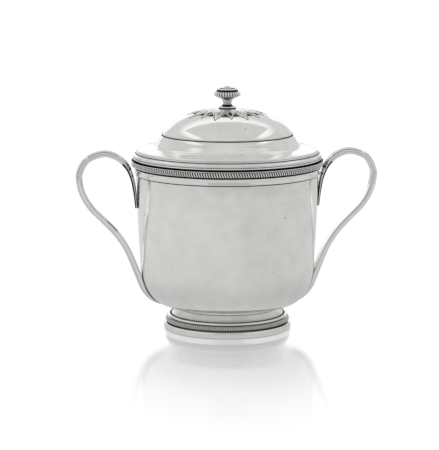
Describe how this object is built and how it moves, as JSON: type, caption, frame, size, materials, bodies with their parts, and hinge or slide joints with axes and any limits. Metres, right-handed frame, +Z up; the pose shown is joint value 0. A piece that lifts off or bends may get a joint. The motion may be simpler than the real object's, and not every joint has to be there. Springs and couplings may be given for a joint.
{
  "type": "covered sugar bowl",
  "caption": "Covered silver sugar bowl with looped strap handles, twisted-wire borders, a low foot and a lift-off domed lid with leaf rosette and fluted button finial.",
  "frame": {"origin": "centre of the foot's underside, on the table", "axes": "+Z up through the finial, +X through the right handle, -Y towards the front"},
  "size_m": [0.167, 0.1056, 0.1342],
  "materials": {
    "silver_sheet": "hand-polished sterling sheet with fine scratches",
    "silver_wire": "polished drawn and twisted wire, dark in its grooves",
    "silver_strap": "polished reeded strap",
    "silver_cast": "chased and lightly tarnished in the recesses"
  },
  "bodies": {
    "bowl": {"bowl_shell": "silver_sheet", "rim_top_wire": "silver_wire", "rim_rope": "silver_wire", "rim_band": "silver_wire", "foot_neck_wire": "silver_wire", "foot_drum": "silver_sheet", "foot_fillet": "silver_wire", "foot_rope": "silver_wire", "foot_plinth": "silver_sheet", "left_handle": "silver_strap", "right_handle": "silver_strap"},
    "lid": {"lid_dome": "silver_sheet", "lid_brim": "silver_sheet", "lid_edge_wire": "silver_wire", "lid_bezel": "silver_sheet", "leaf_rosette": "silver_cast", "finial_collar": "silver_cast", "finial_stem": "silver_cast", "finial_button": "silver_cast", "finial_cap": "silver_cast", "finial_stud": "silver_cast", "finial_washer": "silver_cast", "finial_nut": "silver_cast"}
  },
  "joints": [
    {"name": "lid_lift", "type": "slide", "parent": "bowl", "child": "lid", "axis": [0, 0, 1], "range_m": [0, 0.06]}
  ]
}
